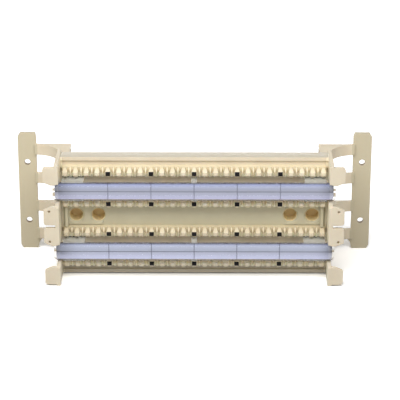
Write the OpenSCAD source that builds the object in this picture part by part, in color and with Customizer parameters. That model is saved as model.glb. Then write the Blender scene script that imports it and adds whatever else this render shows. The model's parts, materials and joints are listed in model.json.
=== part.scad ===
// Punch down wiring block for 100 wire pairs: four toothed index strips on a
// moulded base, two stand-off legs with screw feet, and two clear label
// holders that clip into the troughs between the strips.
//
// X runs along the strips and Z is up. The wall is the plane y = 0 and the
// block stands in front of it at negative y. Distances from the wall are
// written as positive depths. The origin is the centre of the four foot screws.

/* [Index strips] */
// Wire pairs on each strip
pairs = 25; // [21:4:25]
// Distance from one pair to the next
pair_pitch = 7.62; // [7.5:0.01:7.8]
// Distance from one strip to the next
row_pitch = 22.86; // [22.86:0.01:24]
// Height of a strip from the base floor to its highest tips
strip_h = 9.6; // [9:0.1:10.5]
// Thickness of a strip where it meets the floor
strip_root_t = 7.6; // [7.2:0.1:8]
// Thickness of a strip at the shoulder under its tips
strip_top_t = 6.8; // [6:0.1:7.2]
// Width of a high tooth, which parts one pair from the next
tooth_w = 3.8; // [3.4:0.1:4]
// Width of a low tooth, which splits the two wires of a pair
splitter_w = 2.1; // [1.8:0.1:2.3]
// Depth of a wire slot from the highest tips
slot_depth = 6; // [4.5:0.1:6.5]

/* [Base] */
// Depth of the base moulding from its open back to its floor
base_depth = 12; // [10:0.5:14]
// Height of the base moulding
base_h = 88.6; // [88:0.1:91]
// Thickness of the floor that carries the strips
plate_t = 2.8; // [2.6:0.1:3.6]
// Thickness of the walls that close the ends
wall_t = 2.8; // [2.6:0.1:4]
// How far the end walls stand out in front of the tooth tips
wall_reach = 14.4; // [12:0.1:16]
// Height of the gap in an end wall at each label holder
notch_h = 15.8; // [14.6:0.1:16.5]
// How far a wire retaining finger stands out from the end wall
finger_w = 8; // [6:0.5:10]
// Thickness of a finger
finger_t = 3.2; // [2.5:0.1:4]
// Diameter of the four blind sockets in the centre channel
socket_d = 9.2; // [8:0.1:10]

/* [Legs] */
// Distance from the wall to the back of the base
standoff = 39.2; // [36:0.1:45]
// Height of a leg, which is also the height of the end walls
leg_h = 90.6; // [90:0.1:91.4]
// Width of the foot strip
foot_w = 13.5; // [13:0.5:16]
// Thickness of the foot strip
foot_t = 3.4; // [2.5:0.1:4]
// Radius of the sweep from the foot into the riser
bend_r = 19.5; // [15:0.5:21]
// Height of each of the four arms
arm_h = 8; // [7:0.1:9]
// Diameter of the foot screw holes
screw_d = 4.4; // [4:0.1:5]

/* [Label holders] */
// Height of a label holder
holder_h = 12.9; // [12:0.1:13.2]
// How far a holder's face stands out in front of the tooth tips
holder_reach = 5.1; // [4:0.1:7]
// How far each of the two lens bands of a holder swells
lens_crown = 0.8; // [0.4:0.1:1.2]
// Thickness of the label strip
label_t = 0.5; // [0.3:0.1:0.8]

/* [Hidden] */
$fn = 48;

IVORY = [0.90, 0.84, 0.70];
STRIP_IVORY = [0.96, 0.91, 0.77];
LEG_IVORY = [0.84, 0.78, 0.65];
CLEAR = [0.86, 0.88, 0.93, 0.45];
LABEL_VIOLET = [0.73, 0.75, 0.90];

clearance = 0.2;                       // gap round a piece that slips into another
eps = 0.01;

// depths from the wall
base_back = standoff;
floor_d = base_back + base_depth;
tip_d = floor_d + strip_h;
front_d = tip_d + wall_reach;
slot_d = tip_d - slot_depth;           // bottom of a wire slot
shoulder_d = tip_d - 3.6;              // where a high tooth starts to narrow
low_tip_d = tip_d - 3;                 // top of the low teeth

// places along the strip
half_count = (pairs - 1) / 2;
strip_half = half_count * pair_pitch + 2.3;
strip_gap = 1.45;                      // from a strip's end to the end wall
wall_in = strip_half + strip_gap;
wall_out = wall_in + wall_t;
group = 4;                             // pairs in one marked group
bays = (pairs - 1) / group;            // bays between the upright back ribs

// heights of the strips, and of the cable troughs that the label holders cover
row_z = [1.5 * row_pitch, 0.5 * row_pitch, -0.5 * row_pitch, -1.5 * row_pitch];
trough_z = [row_pitch, -row_pitch];

// index strip details
edge_share = 0.5;                      // a tooth's width at the strip's faces over its full width
tooth_flat = 2.4;                      // a tooth's full width holds over this height
tip_flat = 2.2;                        // flat left on a high tip
tip_bevel = [0.5, 1];                  // bevel on both flanks of a high tip, wide and deep
low_shoulder_d = low_tip_d - 1.8;      // where a low tooth starts to narrow
low_flat = 1.6;                        // flat left on a low tip
low_bevel = [0.75, 2];
tooth_sink = 0.5;                      // how far the teeth reach into their rail
tongue_t = 3;                          // tongue that seats a strip in its groove
tongue_h = 1.8;

// base details
skirt_t = 2.4;
skirt_draft = 0.9;                     // the skirt's lean towards its open back
bead_h = 2.7;                          // bead along the base's long edges
bead_t = 1.4;
rib_t = 1.8;
rib_back = base_back + 3;              // the ribs stop short of the open back
socket_inset = 10.6;                   // from the end wall to the outer socket
socket_pitch = 15.9;                   // from one socket to its neighbour
socket_x = [wall_in - socket_inset, wall_in - socket_inset - socket_pitch];
socket_lead = 1.5;                     // countersink round the mouth of a socket
boss_wall = 1.8;
boss_floor_t = 2.4;                    // the closed bottom of a socket
channel_h = row_pitch - strip_root_t;  // clear height of the centre channel
pad_len = 25;                          // raised pad round the sockets
pad_t = 0.6;
fence_x = wall_in - 3.9;               // upright fence near each end of the channel
fence_t = 2;
fence_h = 5;
finger_r = 2;
finger_root = 2;                       // how far a finger starts inside its wall
finger_set = 0.3;                      // from the edge of a gap to the finger beside it
finger_gap = 1.2;                      // half of the gap between the middle fingers
finger_cut = [5.5, 2.4];               // corner cut off a finger beside a gap, wide and high
finger_end = 44.2;                     // where the outer fingers stop
dimple_d = 1.8;
dimple_z = 0.5 * row_pitch;
dimple_deep = 1.8;
notch_d = floor_d + 3;                 // the bottom of the gaps in the end walls
notch_flare = [1, 2.5];                // how much a gap widens at its mouth, and how deep

// leg details
leg_in = wall_out - 7;
leg_out = wall_out;
arm_front = 5.2;                       // depth of an arm's face at the foot
arm_pitch = 22.1;
arm_z = [1.5 * arm_pitch, 0.5 * arm_pitch, -0.5 * arm_pitch, -1.5 * arm_pitch];
riser_h = 3 * arm_pitch + arm_h;
skin_t = 2.4;
flange_t = 2;
rib_drop = 1.2;                        // an arm's ribs lie below the edges of its skin
sweep_lap = 1;                         // how far the foot and the riser lap over the sweep
foot_in = leg_out + bend_r - sweep_lap;
foot_out = foot_in + foot_w;
screw_x = foot_in + foot_w / 2;
screw_z = row_pitch;
foot_taper = 2.8;                        // length over which the foot's ends narrow
foot_nip = [0.9, 1.8];                 // how far they narrow at the inner and the outer edge
gusset = [3, 4];                   // fillet under the lowest arm
tongue_x = wall_in - 2.5;              // leg tongues slip in behind the end walls
leg_tongue_t = 2;
leg_tongue_h = 8;
leg_tongue_len = 7.5;
tongue_wall_t = 1.4;

// label holder details
holder_len = 2 * (wall_out + 2);
holder_d = tip_d + holder_reach;
holder_t = 1.6;
holder_r = 3.5;
label_end_gap = 1.5;                   // from a label's end to its holder's end
groove_half = 0.25;                    // half of the groove between the lens bands
lens_w = holder_h / 2 - groove_half;
lens_r = (pow(lens_w / 2, 2) + pow(lens_crown, 2)) / (2 * lens_crown);
skirt_w = 0.8;                         // rims that hold the label
lip_w = 0.7;
lip_t = 0.7;
clip_t = 1.2;
clip_len = 15.6;
mid_clip_len = 3.8;
clip_proud = 0.6;
clip_gap = 0.05;                       // the clips stop just short of the trough's floor
label_len = holder_len - 2 * label_end_gap;
label_r = holder_r - label_end_gap;
label_h = holder_h - 2 * skirt_w - 1.5 * clearance;

// Extrudes a shape drawn as (x, z) from one depth to another.
module front_prism(from_d, to_d)
    translate([0, -from_d, 0]) rotate([90, 0, 0]) linear_extrude(to_d - from_d) children();

// Extrudes a shape drawn as (y, z) along X.
module side_prism(from_x, to_x)
    translate([from_x, 0, 0]) rotate([90, 0, 90]) linear_extrude(to_x - from_x) children();

// Extrudes a shape drawn as (x, y) upwards.
module plan_prism(from_z, to_z)
    translate([0, 0, from_z]) linear_extrude(to_z - from_z) children();

// Draws its children at the right end and mirrored at the left end.
module both_ends() {
    children();
    mirror([1, 0, 0]) children();
}

// A centred rectangle with round corners.
module round_rect(w, h, r) {
    square([w - 2 * r, h], center = true);
    square([w, h - 2 * r], center = true);
    for (x = [-1, 1], z = [-1, 1]) translate([x * (w / 2 - r), z * (h / 2 - r)]) circle(r);
}

// ---- index strips ----

// Half of a strip's thickness at a depth between the floor and the shoulder.
function strip_half_t(d) = strip_root_t / 2
    - (strip_root_t - strip_top_t) / 2 * (d - floor_d) / (shoulder_d - floor_d);

module rail_section() {
    root = strip_root_t / 2;
    top = strip_half_t(slot_d);
    polygon([[-floor_d, -root], [-floor_d, root], [-slot_d, top], [-slot_d, -top]]);
    translate([-floor_d - eps, -tongue_t / 2]) square([tongue_h + eps, tongue_t]);
}

// Side view of a tooth that narrows from its shoulder to a flat tip.
module tooth_section(end_d, shoulder, flat) {
    root = slot_d - 2 * tooth_sink;
    low = strip_half_t(root);
    top = strip_half_t(shoulder);
    polygon([[-root, -low], [-root, low], [-shoulder, top], [-end_d, flat / 2],
             [-end_d, -flat / 2], [-shoulder, -top]]);
}

// Front view of a tooth: full width at its ridge, narrow at the strip's faces.
module tooth_outline(width) {
    w = width / 2;
    e = edge_share * w;
    f = tooth_flat / 2;
    h = strip_root_t / 2 + eps;
    polygon([[-w, -f], [-w, f], [-e, h], [e, h], [w, f], [w, -f], [e, -h], [-e, -h]]);
}

// Plan view of a tooth with a bevel on both flanks of its tip.
module tooth_plan(width, end_d, bevel) {
    w = width / 2 + eps;
    n = w - bevel[0];
    root = slot_d - 2 * tooth_sink;
    polygon([[-w, -root], [w, -root], [w, -end_d + bevel[1]], [n, -end_d],
             [-n, -end_d], [-w, -end_d + bevel[1]]]);
}

module teeth(places, width, end_d, shoulder, flat, bevel)
    intersection() {
        front_prism(slot_d - tooth_sink, end_d + eps)
            for (x = places) translate([x, 0]) tooth_outline(width);
        plan_prism(-strip_root_t, strip_root_t)
            for (x = places) translate([x, 0]) tooth_plan(width, end_d, bevel);
        side_prism(-strip_half, strip_half) tooth_section(end_d, shoulder, flat);
    }

module index_strip(z)
    color(STRIP_IVORY) translate([0, 0, z]) {
        high = [for (i = [-half_count : half_count]) i * pair_pitch];
        low = [for (i = [-half_count : half_count - 1]) (i + 0.5) * pair_pitch];
        side_prism(-strip_half, strip_half) rail_section();
        teeth(high, tooth_w, tip_d, shoulder_d, tip_flat, tip_bevel);
        teeth(low, splitter_w, low_tip_d, low_shoulder_d, low_flat, low_bevel);
    }

// ---- base ----

// Side view of an end wall, with a flared gap for each label holder.
module end_wall_section()
    difference() {
        translate([-front_d, -leg_h / 2]) square([front_d - base_back, leg_h]);
        for (z = trough_z) translate([0, z]) {
            half = notch_h / 2;
            polygon([[-front_d - eps, -half - notch_flare[0]], [-front_d + notch_flare[1], -half],
                     [-notch_d, -half], [-notch_d, half],
                     [-front_d + notch_flare[1], half], [-front_d - eps, half + notch_flare[0]]]);
        }
    }

// Front view of a retaining finger, rooted in the end wall. The corner beside the
// gap for a label holder is cut off, at the finger's height gap_z.
module finger_outline(gap_z, far_z)
    difference() {
        translate([wall_out + (finger_w - finger_root) / 2, (gap_z + far_z) / 2])
            round_rect(finger_w + finger_root, abs(far_z - gap_z), finger_r);
        tip = wall_out + finger_w + eps;
        away = sign(far_z - gap_z);
        edge = gap_z - away * eps;
        polygon([[tip - finger_cut[0], edge], [tip, edge], [tip, edge + away * finger_cut[1]]]);
    }

module fingers()
    front_prism(front_d - finger_t, front_d)
        for (side = [0, 1]) mirror([0, side]) {
            finger_outline(row_pitch - notch_h / 2 - finger_set, finger_gap);
            finger_outline(row_pitch + notch_h / 2 + finger_set, finger_end);
        }

module end_wall()
    difference() {
        union() {
            side_prism(wall_in, wall_out) end_wall_section();
            fingers();
        }
        for (z = [-dimple_z, dimple_z])
            front_prism(front_d - dimple_deep, front_d + 1)
                translate([wall_out + finger_w / 2, z]) circle(d = dimple_d);
    }

// Upper skirt of the base with the bead on its front edge.
module skirt()
    side_prism(-wall_in - eps, wall_in + eps) {
        top = base_h / 2;
        polygon([[-floor_d, top], [-base_back, top - skirt_draft],
                 [-base_back, top - skirt_draft - skirt_t], [-floor_d, top - skirt_t]]);
        translate([-floor_d - bead_t, top - bead_h]) square([bead_t + eps, bead_h]);
    }

module back_ribs() {
    rib_d = floor_d - plate_t + eps;
    front_prism(rib_back, rib_d) {
        for (z = row_z) translate([0, z]) square([2 * wall_in, rib_t], center = true);
        for (i = [1 - bays / 2 : bays / 2 - 1])
            translate([i * group * pair_pitch, 0])
                square([rib_t, base_h - 2 * skirt_t], center = true);
    }
    front_prism(base_back, rib_d) both_ends()
        translate([tongue_x - leg_tongue_t / 2 - clearance - tongue_wall_t / 2, 0])
            square([tongue_wall_t, base_h - 2 * skirt_t], center = true);
}

module channel_details()
    both_ends() {
        front_prism(floor_d - eps, floor_d + pad_t)
            translate([fence_x - (fence_t + pad_len) / 2, 0])
                square([pad_len, channel_h - 4 * clearance], center = true);
        front_prism(floor_d - eps, floor_d + fence_h)
            translate([fence_x, 0])
                square([fence_t, channel_h - 2 * clearance], center = true);
        for (x = socket_x)
            front_prism(base_back, floor_d - plate_t + eps)
                translate([x, 0]) circle(d = socket_d + 2 * boss_wall);
    }

// The bore of a blind socket, with a countersunk mouth.
module socket(x)
    translate([x, 0, 0]) rotate([90, 0, 0]) {
        translate([0, 0, base_back + boss_floor_t])
            cylinder(d = socket_d, h = base_depth + pad_t - boss_floor_t + 1);
        translate([0, 0, floor_d + pad_t - socket_lead])
            cylinder(d1 = socket_d, d2 = socket_d + 2 * socket_lead + 2 * eps,
                     h = socket_lead + eps);
    }

module wiring_base()
    color(IVORY) difference() {
        union() {
            front_prism(floor_d - plate_t, floor_d)
                square([2 * wall_in + 2 * eps, base_h], center = true);
            skirt();
            mirror([0, 0, 1]) skirt();
            both_ends() end_wall();
            back_ribs();
            channel_details();
        }
        for (z = row_z)
            front_prism(floor_d - tongue_h - clearance, floor_d + eps)
                translate([0, z]) square([2 * wall_in, tongue_t + clearance], center = true);
        both_ends() for (x = socket_x) socket(x);
    }

// ---- legs ----

// Plan of the space behind a leg's outer face, or behind a line set in from it.
module bend_plan(inset)
    difference() {
        translate([leg_in, -base_back]) square([leg_out + bend_r - leg_in, base_back]);
        translate([leg_out + bend_r, -arm_front - bend_r]) circle(bend_r + inset);
        translate([leg_out - inset, -base_back - 1])
            square([bend_r + inset + 1, base_back + 1 - arm_front - bend_r]);
    }

module bend_skin()
    difference() {
        bend_plan(0);
        bend_plan(skin_t);
    }

// A hollow arm, open towards the wall: a curved skin between two ribs.
module arm() {
    half = arm_h / 2;
    plan_prism(-half, half) bend_skin();
    for (side = [0, 1]) mirror([0, 0, side])
        plan_prism(half - rib_drop - rib_t, half - rib_drop) bend_plan(0);
}

module foot_outline()
    polygon([[foot_in, foot_taper - leg_h / 2], [foot_in + foot_nip[0], -leg_h / 2],
             [foot_out - foot_nip[1], -leg_h / 2], [foot_out, foot_taper - leg_h / 2],
             [foot_out, leg_h / 2 - foot_taper], [foot_out - foot_nip[1], leg_h / 2],
             [foot_in + foot_nip[0], leg_h / 2], [foot_in, leg_h / 2 - foot_taper],
             [foot_in, -riser_h / 2 + eps], [foot_in - gusset[0], -riser_h / 2 + eps],
             [foot_in, -riser_h / 2 - gusset[1]]]);

module foot()
    difference() {
        front_prism(0, foot_t) foot_outline();
        for (z = [-screw_z, screw_z])
            translate([screw_x, 1, z]) rotate([90, 0, 0]) cylinder(d = screw_d, h = foot_t + 2);
    }

module leg()
    color(LEG_IVORY) {
        foot();
        for (z = arm_z) translate([0, 0, z]) arm();
        plan_prism(-riser_h / 2, riser_h / 2) {
            translate([leg_out - skin_t, -base_back])
                square([skin_t, base_back - arm_front - bend_r + sweep_lap]);
            translate([leg_in, -base_back]) square([leg_out - leg_in, flange_t]);
        }
        for (z = [-arm_pitch, 0, arm_pitch])
            front_prism(base_back - eps, base_back + leg_tongue_len)
                translate([tongue_x, z]) square([leg_tongue_t, leg_tongue_h], center = true);
    }

// ---- label holders and labels ----

// Side view of a holder: two lens bands in front of a pocket for the label.
module holder_section() {
    top = holder_h / 2;
    back = holder_d - holder_t;
    translate([-holder_d, -top]) square([holder_t, holder_h]);
    for (side = [0, 1]) mirror([0, side]) {
        intersection() {
            translate([-holder_d - lens_crown + lens_r, groove_half + lens_w / 2]) circle(lens_r);
            translate([-holder_d - lens_crown, groove_half]) square([lens_crown + eps, lens_w]);
        }
        translate([-back - eps, top - skirt_w]) square([label_t + lip_t + eps, skirt_w]);
        translate([-back + label_t, top - skirt_w - lip_w]) square([lip_t, skirt_w + lip_w]);
    }
}

// A clip reaches back from a holder's edge to the floor of the trough.
module clip(from_x, length)
    for (side = [0, 1]) mirror([0, 0, side])
        front_prism(floor_d + clip_gap, holder_d - clip_t / 2)
            translate([from_x, holder_h / 2 + clip_proud - clip_t]) square([length, clip_t]);

module label_holder(z)
    color(CLEAR) translate([0, 0, z]) {
        intersection() {
            side_prism(-holder_len / 2, holder_len / 2) holder_section();
            front_prism(floor_d, front_d) round_rect(holder_len, holder_h, holder_r);
        }
        both_ends() clip(strip_half - clip_len, clip_len);
        clip(-mid_clip_len / 2, mid_clip_len);
    }

module label(z)
    color(LABEL_VIOLET)
        front_prism(holder_d - holder_t - label_t + eps, holder_d - holder_t)
            translate([0, z]) round_rect(label_len, label_h, label_r);

wiring_base();
index_strip(row_z[0]);  // index_strip_1
index_strip(row_z[1]);  // index_strip_2
index_strip(row_z[2]);  // index_strip_3
index_strip(row_z[3]);  // index_strip_4
mirror([1, 0, 0]) leg();  // leg_left
leg();  // leg_right
label_holder(trough_z[0]);  // label_holder_upper
label_holder(trough_z[1]);  // label_holder_lower
label(trough_z[0]);  // label_upper
label(trough_z[1]);  // label_lower
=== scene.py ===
import json
import math

import bpy
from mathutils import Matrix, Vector


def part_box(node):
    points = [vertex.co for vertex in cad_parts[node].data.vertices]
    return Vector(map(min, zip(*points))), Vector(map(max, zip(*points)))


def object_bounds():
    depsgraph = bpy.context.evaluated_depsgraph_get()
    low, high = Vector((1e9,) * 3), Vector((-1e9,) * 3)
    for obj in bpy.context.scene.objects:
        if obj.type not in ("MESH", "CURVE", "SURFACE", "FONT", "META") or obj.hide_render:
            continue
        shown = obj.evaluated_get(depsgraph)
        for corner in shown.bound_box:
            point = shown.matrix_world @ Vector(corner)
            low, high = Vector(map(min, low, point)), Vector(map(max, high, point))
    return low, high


MM = 0.001
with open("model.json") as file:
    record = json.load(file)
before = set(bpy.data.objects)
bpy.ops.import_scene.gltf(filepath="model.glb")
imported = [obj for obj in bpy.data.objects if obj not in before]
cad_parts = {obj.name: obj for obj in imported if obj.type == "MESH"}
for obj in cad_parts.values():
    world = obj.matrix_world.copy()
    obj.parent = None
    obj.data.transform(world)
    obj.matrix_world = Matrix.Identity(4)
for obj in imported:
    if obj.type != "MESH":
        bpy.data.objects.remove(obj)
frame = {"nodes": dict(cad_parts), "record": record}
CAD_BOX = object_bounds()
NODES = frame["nodes"]
LEGS = ["leg_left", "leg_right"]

PAIR_PITCH = 7.62 * MM
GROUP = 4 * PAIR_PITCH                 # a mark stands on every fourth pair
RIM_BACK = 1.5 * MM                    # how far a holder's rims reach behind its label
CLIP_PROUD = 0.6 * MM                  # how far a clip stands above and below its holder's face
WALL_GAP = 1.6 * MM                    # from a strip's end to just inside the end wall's surface
FOOT_X = 115.5 * MM                    # where a leg's arms meet its foot
GROUPS_ASIDE = 8                       # a shift by whole groups that keeps a repeated x above zero
MARKED_REACH = 2.5 * GROUP             # marks and upright rules lie within this of the middle
MARK_HALF_X, MARK_HALF_Z = 1.62 * MM, 1.6 * MM
MARK_DEPTH = 0.95 * MM                 # how far a mark reaches back from the tooth's tip
VALLEY_START, VALLEY_END = 1.2 * MM, 4.0 * MM    # depths where the painted shade and painted light between the teeth set in, are full
RIM_EDGE = 0.45 * MM                   # the edge of a holder's face that painted shade darkens
LABEL_END = 2.5 * MM                   # the paler end of a label, a painted highlight
RULE_HALF_UPRIGHT, RULE_HALF_MIDDLE = 0.35 * MM, 0.45 * MM
CHANNEL_BEHIND = 0.5 * MM              # how far the channel's painted shade reaches behind the sockets' mouths
SOCKET_MARGIN_R, SOCKET_MARGIN_Y = 0.1 * MM, 0.3 * MM    # the painted warm light inside a socket reaches this far past its walls
HOLE_MARGIN_MM = 0.1                   # the painted shade in a screw hole reaches this far past its wall
FACES_UP = 0.7                         # a face counts as a top one from this Z of its normal
YES = 0.5                              # a 0 or 1 socket counts as 1 above this


# ---- camera ----

def look_at(obj, target):
    """Turns an object so that its -Z axis points at the target."""
    obj.rotation_euler = (target - obj.location).to_track_quat("-Z", "Y").to_euler()


def make_camera():
    """The photograph's view: 21 degrees above the block, from 1.35 m, nearly straight on."""
    target = Vector((4.07, -40.0, 7.07)) * MM
    distance = 1.35
    elevation = 0.3658
    yaw = -0.0049
    forward = Vector((math.sin(yaw) * math.cos(elevation),
                      math.cos(yaw) * math.cos(elevation),
                      -math.sin(elevation)))
    data = bpy.data.cameras.new("camera")
    data.sensor_width = 36.0
    data.lens = 168.4
    camera = bpy.data.objects.new("camera", data)
    camera.location = target - forward * distance
    look_at(camera, target)
    bpy.context.scene.collection.objects.link(camera)
    bpy.context.scene.camera = camera


# ---- materials ----

def linear(red, green, blue):
    """An sRGB colour of 0 to 255 as a linear RGBA tuple."""
    def channel(value):
        c = value / 255
        return c / 12.92 if c <= 0.04045 else ((c + 0.055) / 1.055) ** 2.4
    return (channel(red), channel(green), channel(blue), 1.0)


class Nodes:
    """Short calls for building one material's node tree."""

    def __init__(self, name):
        self.material = bpy.data.materials.new(name)
        self.material.use_nodes = True
        self.tree = self.material.node_tree
        self.shader = self.tree.nodes["Principled BSDF"]
        self.output = self.tree.nodes["Material Output"]

    def new(self, kind, **values):
        node = self.tree.nodes.new(kind)
        for key, value in values.items():
            setattr(node, key, value)
        return node

    def link(self, source, target):
        self.tree.links.new(source, target)

    def position(self):
        return self.new("ShaderNodeTexCoord").outputs["Object"]

    def math(self, operation, *values):
        """A math node; each value is a number or a socket."""
        node = self.new("ShaderNodeMath", operation=operation)
        for socket, value in zip(node.inputs, values):
            if isinstance(value, (int, float)):
                socket.default_value = value
            else:
                self.link(value, socket)
        return node.outputs[0]

    def noise(self, scale, detail=2.0, roughness=0.5):
        node = self.new("ShaderNodeTexNoise")
        node.inputs["Scale"].default_value = scale
        node.inputs["Detail"].default_value = detail
        node.inputs["Roughness"].default_value = roughness
        self.link(self.position(), node.inputs["Vector"])
        return node.outputs["Fac"]

    def ramp(self, factor, stops):
        node = self.new("ShaderNodeValToRGB")
        elements = node.color_ramp.elements
        elements[0].position, elements[0].color = stops[0]
        elements[1].position, elements[1].color = stops[-1]
        for place, colour in stops[1:-1]:
            elements.new(place).color = colour
        self.link(factor, node.inputs["Fac"])
        return node.outputs["Color"]

    def mix(self, factor, first, second):
        """Mixes two colours, each a tuple or a socket."""
        node = self.new("ShaderNodeMix", data_type="RGBA")
        self.put(node.inputs[0], factor)
        self.put(node.inputs[6], first)
        self.put(node.inputs[7], second)
        return node.outputs[2]

    def axes(self):
        """The X, Y and Z outputs of the object position."""
        split = self.new("ShaderNodeSeparateXYZ")
        self.link(self.position(), split.inputs[0])
        return split.outputs

    def beyond(self, value, middle, half):
        """1 where a value lies further than half from the middle, else 0."""
        offset = self.math("SUBTRACT", value, middle)
        return self.math("GREATER_THAN", self.math("ABSOLUTE", offset), half)

    def put(self, socket, value):
        if isinstance(value, (int, float, tuple)):
            socket.default_value = value
        else:
            self.link(value, socket)

    def bump(self, height, strength, distance):
        edge = self.new("ShaderNodeBevel")
        edge.samples = 4
        edge.inputs["Radius"].default_value = 0.5 * MM
        node = self.new("ShaderNodeBump")
        self.link(edge.outputs["Normal"], node.inputs["Normal"])
        node.inputs["Strength"].default_value = strength
        node.inputs["Distance"].default_value = distance
        self.link(height, node.inputs["Height"])
        self.link(node.outputs["Normal"], self.shader.inputs["Normal"])


def ivory_plastic(name, light, dark):
    """Moulded ivory plastic: faint flow marks in its colour, a fine matte grain and a soft sheen."""
    m = Nodes(name)
    flow = m.noise(60.0, 3.0, 0.6)
    colour = m.ramp(flow, [(0.35, dark), (0.65, light)])
    m.link(colour, m.shader.inputs["Base Color"])
    grain = m.noise(2500.0, 2.0, 0.6)
    rough = m.math("MULTIPLY_ADD", grain, 0.18, 0.40)
    m.link(rough, m.shader.inputs["Roughness"])
    m.bump(grain, 0.12, 0.00008)
    m.shader.inputs["Subsurface Weight"].default_value = 0.12
    m.shader.inputs["Subsurface Radius"].default_value = (0.002, 0.0013, 0.0007)
    m.shader.inputs["Subsurface Scale"].default_value = 1.0
    m.shader.inputs["Specular IOR Level"].default_value = 0.45
    return m


def paint(node, look):
    """Gives a CAD node the material of a finished Nodes."""
    NODES[node].data.materials.clear()
    NODES[node].data.materials.append(look.material)


def strip_material(node, light, dark):
    """Ivory plastic with a black mark on the high tooth at every fourth pair.

    Between the teeth it is darker and yellower in the strip's upper half, as painted shade, and lighter
    in its lower half, as painted light.
    """
    m = ivory_plastic("ivory_" + node, light, dark)
    low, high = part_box(node)
    x, y, z = m.axes()
    along = m.math("PINGPONG", m.math("ADD", x, GROUPS_ASIDE * GROUP), GROUP / 2)
    mask = m.math("MULTIPLY", m.math("LESS_THAN", along, MARK_HALF_X),
                  m.math("LESS_THAN", m.beyond(z, (low.z + high.z) / 2, MARK_HALF_Z), YES))
    near_tip = m.math("LESS_THAN", y, low.y + MARK_DEPTH)
    inner = m.math("LESS_THAN", m.math("ABSOLUTE", x), MARKED_REACH)
    mask = m.math("MULTIPLY", mask, m.math("MULTIPLY", near_tip, inner))
    depth = m.new("ShaderNodeMapRange")
    depth.inputs["From Min"].default_value = low.y + VALLEY_START
    depth.inputs["From Max"].default_value = low.y + VALLEY_END
    m.link(y, depth.inputs["Value"])
    # painted shade between the teeth in the strip's upper half, painted light in its lower half
    lower = m.math("LESS_THAN", z, (low.z + high.z) / 2 - 0.5 * MM)
    valley_painted_shade_and_light = m.mix(lower, linear(214, 198, 156), linear(255, 248, 220))
    share = m.math("MULTIPLY_ADD", lower, 0.6, 0.3)
    base = m.mix(m.math("MULTIPLY", depth.outputs[0], share),
                 m.shader.inputs["Base Color"].links[0].from_socket, valley_painted_shade_and_light)
    m.link(m.mix(mask, base, linear(9, 6, 8)), m.shader.inputs["Base Color"])
    rough = m.shader.inputs["Roughness"].links[0].from_socket
    m.link(m.math("MAXIMUM", rough, m.math("MULTIPLY", mask, 0.95)), m.shader.inputs["Roughness"])
    return m


def base_material():
    """Ivory plastic with painted light and shade in places.

    It is darker and greener along the channel and greyer on top and at its low edge, all painted shade;
    lighter on the inner faces of the end walls, painted light; and yellower inside the four sockets,
    painted warm light.
    """
    m = ivory_plastic("ivory_base", linear(224, 212, 188), linear(216, 203, 179))
    x, y, z = m.axes()
    sockets = [mount for mount in frame["record"]["mounts"] if mount["name"].startswith("socket")]
    over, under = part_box("index_strip_2"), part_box("index_strip_3")
    outside = m.math("MAXIMUM", m.beyond(x, 0.0, over[1].x),
                     m.beyond(z, (over[0].z + under[1].z) / 2, (over[0].z - under[1].z) / 2))
    mouths = [socket["pos_m"][1] - socket["dims"]["length_mm"] * MM / 2 for socket in sockets]
    behind = m.math("GREATER_THAN", y, max(mouths) + CHANNEL_BEHIND)
    channel = m.math("SUBTRACT", 1.0, m.math("MAXIMUM", outside, behind))
    plain = m.shader.inputs["Base Color"].links[0].from_socket
    # painted shade: the channel's floor darker and greener
    base = m.mix(m.math("MULTIPLY", channel, 0.48), plain, linear(176, 176, 142))
    facing = m.new("ShaderNodeSeparateXYZ")
    m.link(m.new("ShaderNodeNewGeometry").outputs["True Normal"], facing.inputs[0])
    upward = m.math("GREATER_THAN", facing.outputs["Z"], FACES_UP)
    upward = m.math("MULTIPLY", upward, m.math("GREATER_THAN", z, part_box("index_strip_1")[1].z))
    between_walls = m.math("SUBTRACT", 1.0, m.beyond(x, 0.0, over[1].x + WALL_GAP))
    # painted shade on the top faces between the end walls
    top_painted_shade = m.math("MULTIPLY", upward, between_walls)
    # painted shade along the low edge
    low_edge_painted_shade = m.math("MULTIPLY", between_walls,
                      m.math("LESS_THAN", z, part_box("index_strip_4")[0].z - 1.0 * MM))
    # painted light on the inner faces of the end walls
    wall = m.math("MULTIPLY", m.math("SUBTRACT", between_walls, top_painted_shade), m.beyond(x, 0.0, over[1].x))
    base = m.mix(wall, base, linear(248, 238, 212))
    base = m.mix(top_painted_shade, base, linear(200, 191, 172))
    base = m.mix(m.math("MULTIPLY", low_edge_painted_shade, 0.35), base, linear(176, 170, 156))
    # painted warm light, as if bounced between the walls, inside the four sockets
    inside = None
    for socket in sockets:
        place, reach = socket["pos_m"], socket["dims"]["r_mm"] * MM + SOCKET_MARGIN_R
        far_x = m.beyond(x, place[0], reach)
        far_z = m.beyond(z, place[2], reach)
        far_y = m.beyond(y, place[1], socket["dims"]["length_mm"] * MM / 2 + SOCKET_MARGIN_Y)
        here = m.math("LESS_THAN", m.math("ADD", far_x, m.math("ADD", far_y, far_z)), YES)
        inside = here if inside is None else m.math("MAXIMUM", inside, here)
    m.link(m.mix(inside, base, linear(240, 220, 172)), m.shader.inputs["Base Color"])
    return m


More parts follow.
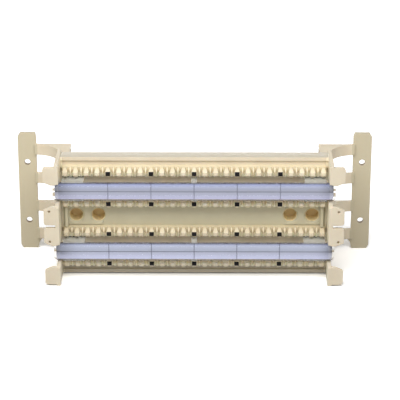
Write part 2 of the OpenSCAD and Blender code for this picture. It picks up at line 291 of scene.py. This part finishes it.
def leg_material(node):
    """Ivory plastic with painted shade that makes the foot a little greyer than the arms and darkens the
    screw holes inside.
    """
    m = ivory_plastic("ivory_" + node, linear(228, 215, 190), linear(220, 206, 180))
    x, _, z = m.axes()
    # painted shade: the foot a little greyer than the arms
    foot = m.math("GREATER_THAN", m.math("ABSOLUTE", x), FOOT_X)
    base = m.mix(foot, m.shader.inputs["Base Color"].links[0].from_socket, linear(205, 194, 166))
    screws = next(mount["dims"] for mount in frame["record"]["mounts"] if mount["name"] == "wall_screws")
    off_x = m.math("SUBTRACT", m.math("ABSOLUTE", x), screws["spacing_x_mm"] / 2 * MM)
    off_z = m.math("SUBTRACT", m.math("ABSOLUTE", z), screws["spacing_y_mm"] / 2 * MM)
    from_axis = m.math("SQRT", m.math("ADD", m.math("MULTIPLY", off_x, off_x),
                                      m.math("MULTIPLY", off_z, off_z)))
    # painted shade inside the screw holes
    hole_painted_shade = m.math("LESS_THAN", from_axis, (screws["hole_r_mm"] + HOLE_MARGIN_MM) * MM)
    m.link(m.mix(hole_painted_shade, base, linear(140, 118, 88)), m.shader.inputs["Base Color"])
    return m


def clear_plastic(holder, label):
    """Clear glossy plastic with milky clips and painted shade that darkens its rims; lamps reach the
    label through it.
    """
    m = Nodes("clear_" + holder)
    low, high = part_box(holder)
    label_low, label_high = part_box(label)
    _, y, z = m.axes()
    rim = m.math("MULTIPLY", m.beyond(z, (low.z + high.z) / 2, (label_high.z - label_low.z) / 2),
                 m.math("LESS_THAN", y, label_high.y + RIM_BACK))
    # painted shade: the rims darker than the clear face
    rim_painted_shade = m.mix(rim, (1, 1, 1, 1), linear(186, 186, 198))
    middle, face_half = (low.z + high.z) / 2, (high.z - low.z) / 2 - CLIP_PROUD
    # painted shade along the edge of the face
    rim_painted_shade = m.mix(m.beyond(z, middle, face_half - RIM_EDGE), rim_painted_shade, linear(122, 124, 136))
    clip = m.math("MAXIMUM", m.beyond(z, middle, face_half + 0.02 * MM),
                  m.math("GREATER_THAN", y, label_high.y + RIM_BACK))
    m.link(m.mix(clip, rim_painted_shade, linear(206, 206, 202)), m.shader.inputs["Base Color"])
    m.link(m.math("MULTIPLY_ADD", clip, -0.45, 1.0), m.shader.inputs["Transmission Weight"])
    m.shader.inputs["IOR"].default_value = 1.47
    m.link(m.math("MULTIPLY_ADD", m.noise(400.0), 0.05, 0.03), m.shader.inputs["Roughness"])
    path = m.new("ShaderNodeLightPath")
    open_to_lamps = m.new("ShaderNodeBsdfTransparent")
    open_to_lamps.inputs["Color"].default_value = (1, 1, 1, 1)
    both = m.new("ShaderNodeMixShader")
    below = m.math("MULTIPLY", rim, m.math("LESS_THAN", z, label_low.z))
    lets_light_in = m.math("SUBTRACT", 1.0, below)
    m.link(m.math("MULTIPLY", path.outputs["Is Shadow Ray"], lets_light_in), both.inputs[0])
    m.link(m.shader.outputs[0], both.inputs[1])
    m.link(open_to_lamps.outputs[0], both.inputs[2])
    m.link(both.outputs[0], m.output.inputs["Surface"])
    return m


def label_paper(label, shades):
    """Violet card: a faint fibre, a rule at every marked pair and one along the middle, and a painted
    highlight that makes its ends paler.
    """
    m = Nodes("paper_" + label)
    low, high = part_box(label)
    x, _, z = m.axes()
    height = m.new("ShaderNodeMapRange")
    height.inputs["From Min"].default_value = low.z
    height.inputs["From Max"].default_value = high.z
    m.link(z, height.inputs["Value"])
    card = m.ramp(height.outputs[0], list(zip((0.0, 0.42, 0.6, 1.0), shades)))
    # painted highlight: the label paler near its ends
    end_painted_highlight = m.beyond(x, 0.0, high.x - LABEL_END)
    card = m.mix(m.math("MULTIPLY", end_painted_highlight, 0.6), card, linear(246, 246, 252))
    fibre = m.noise(900.0, 4.0, 0.6)
    card = m.mix(m.math("MULTIPLY", fibre, 0.12), card, linear(150, 152, 180))
    along = m.math("PINGPONG", m.math("ADD", x, GROUPS_ASIDE * GROUP), GROUP / 2)
    inner = m.math("LESS_THAN", m.math("ABSOLUTE", x), MARKED_REACH)
    upright = m.math("MULTIPLY", inner, m.math("LESS_THAN", along, RULE_HALF_UPRIGHT))
    middle = m.math("SUBTRACT", 1.0, m.beyond(z, (low.z + high.z) / 2, RULE_HALF_MIDDLE))
    rules = m.math("MAXIMUM", m.math("MULTIPLY", upright, 0.6), m.math("MULTIPLY", middle, 0.85))
    m.link(m.mix(rules, card, linear(110, 112, 140)), m.shader.inputs["Base Color"])
    m.shader.inputs["Roughness"].default_value = 0.75
    m.bump(fibre, 0.1, 0.00005)
    return m


# each strip's ivory, where it is light and where it is dark; strip 3 is darker as painted shade, strips
# 2 and 4 lighter as painted light
STRIP_IVORY_AND_PAINTED_LIGHT = [("index_strip_1", linear(232, 220, 193), linear(224, 211, 182)),
               ("index_strip_2", linear(246, 234, 206), linear(238, 225, 195)),
               ("index_strip_3", linear(216, 203, 176), linear(208, 194, 166)),
               ("index_strip_4", linear(246, 234, 206), linear(238, 225, 195))]

# each holder with its label, and the label's shades from its lower edge to its upper one; the lower
# label's are lighter as painted light
LABEL_VIOLET_AND_PAINTED_LIGHT = [("label_holder_upper", "label_upper",
                 [linear(220, 220, 240), linear(206, 209, 220),
                  linear(192, 195, 209), linear(214, 220, 243)]),
                ("label_holder_lower", "label_lower",
                 [linear(236, 238, 255), linear(220, 223, 235),
                  linear(207, 212, 226), linear(230, 234, 248)])]


def paint_block():
    paint("wiring_base", base_material())
    for leg in LEGS:
        paint(leg, leg_material(leg))
    for strip, light, dark in STRIP_IVORY_AND_PAINTED_LIGHT:
        paint(strip, strip_material(strip, light, dark))
    for holder, label, shades in LABEL_VIOLET_AND_PAINTED_LIGHT:
        paint(holder, clear_plastic(holder, label))
        paint(label, label_paper(label, shades))


# ---- stage ----

def make_floor():
    """A white floor that keeps the object's shadow.

    What looks at it sees it brighter than it lights, and more so away from the lamp, so it stays white.
    """
    bpy.ops.mesh.primitive_plane_add(size=8, location=(0, 0, CAD_BOX[0].z))
    floor = bpy.context.object
    floor.name = "floor"
    m = Nodes("floor_white")
    path = m.new("ShaderNodeLightPath")
    seen = m.math("MAXIMUM", path.outputs["Is Camera Ray"],
                  m.math("MAXIMUM", path.outputs["Is Glossy Ray"], path.outputs["Is Transmission Ray"]))
    plain = m.new("ShaderNodeBsdfDiffuse")
    plain.inputs["Color"].default_value = (0.5, 0.5, 0.5, 1)
    away = m.new("ShaderNodeVectorMath", operation="DISTANCE")
    m.link(m.position(), away.inputs[0])
    away.inputs[1].default_value = (0, -0.2, 0)
    reach = 2.4
    white = m.ramp(m.math("DIVIDE", away.outputs["Value"], reach),
                   [(metres / reach, (level, level, level, 1)) for metres, level in
                    ((0.0, 1.0), (0.08, 1.03), (0.2, 1.55), (1.0, 3.3), (reach, 5.2))])
    bright = m.new("ShaderNodeBsdfDiffuse")
    m.link(white, bright.inputs["Color"])
    choose = m.new("ShaderNodeMixShader")
    m.link(seen, choose.inputs[0])
    m.link(plain.outputs[0], choose.inputs[1])
    m.link(bright.outputs[0], choose.inputs[2])
    m.link(choose.outputs[0], m.output.inputs["Surface"])
    floor.data.materials.append(m.material)


def area_light(name, place, size, power, target=(0, -0.05, 0)):
    data = bpy.data.lights.new(name, "AREA")
    data.shape = "RECTANGLE"
    data.size, data.size_y = size
    data.energy = power
    lamp = bpy.data.objects.new(name, data)
    lamp.location = place
    look_at(lamp, Vector(target))
    bpy.context.scene.collection.objects.link(lamp)


def make_lights():
    area_light("key", (-0.06, -0.42, 0.5), (0.9, 0.35), 5.2)
    area_light("fill", (0.1, 1.2, 0.08), (1.2, 0.2), 5)
    world = bpy.data.worlds.new("studio")
    world.use_nodes = True
    tree = world.node_tree
    background = tree.nodes["Background"]
    background.inputs["Color"].default_value = (1, 1, 1, 1)
    path = tree.nodes.new("ShaderNodeLightPath")
    seen = tree.nodes.new("ShaderNodeMath")
    seen.operation = "MAXIMUM"
    tree.links.new(path.outputs["Is Camera Ray"], seen.inputs[0])
    tree.links.new(path.outputs["Is Transmission Ray"], seen.inputs[1])
    level = tree.nodes.new("ShaderNodeMapRange")
    level.inputs["To Min"].default_value = 0.3
    level.inputs["To Max"].default_value = 1.0
    tree.links.new(seen.outputs[0], level.inputs["Value"])
    tree.links.new(level.outputs[0], background.inputs["Strength"])
    bpy.context.scene.world = world


make_camera()
paint_block()
make_floor()
make_lights()
bpy.context.scene.view_settings.view_transform = "Standard"
